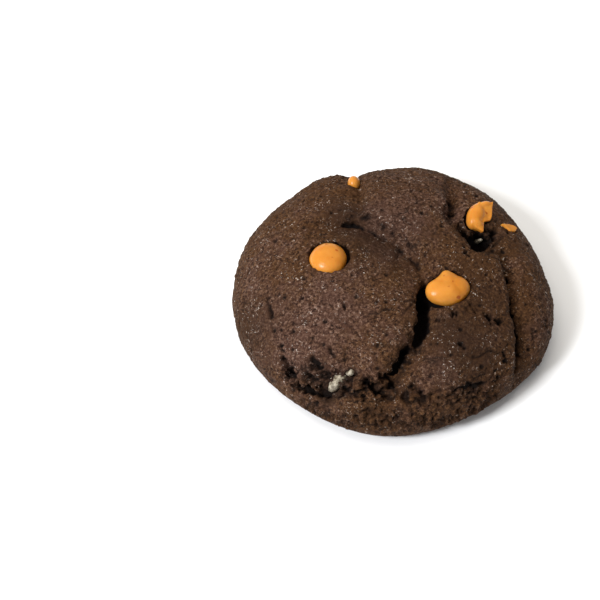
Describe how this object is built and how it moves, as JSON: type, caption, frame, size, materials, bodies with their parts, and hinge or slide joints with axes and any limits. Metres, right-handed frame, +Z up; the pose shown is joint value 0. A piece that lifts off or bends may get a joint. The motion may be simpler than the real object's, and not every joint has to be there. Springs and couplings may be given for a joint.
{
  "type": "stuffed chocolate cookie with orange chips",
  "caption": "Thick round domed cookie of dark cocoa dough with a cracked crust, orange baking chips sunk in the cracks and a pale filling that breaks through at the front.",
  "frame": {"origin": "centre of the flat base, on the surface that the cookie rests on", "axes": "+Z up, -Y towards the front, where the filling breaks through, +X to the right seen from the front"},
  "size_m": [0.0844, 0.0849, 0.0255],
  "materials": {
    "dough": "matte baked crust with a sandy grain",
    "chip": "smooth and softly glossy",
    "filling": "moist and slightly glossy"
  },
  "bodies": {
    "root": {"cookie_body": "dough", "chip_left": "chip", "chip_middle": "chip", "chip_right": "chip", "chip_edge": "chip", "chip_back": "chip", "filling": "filling"}
  },
  "joints": []
}
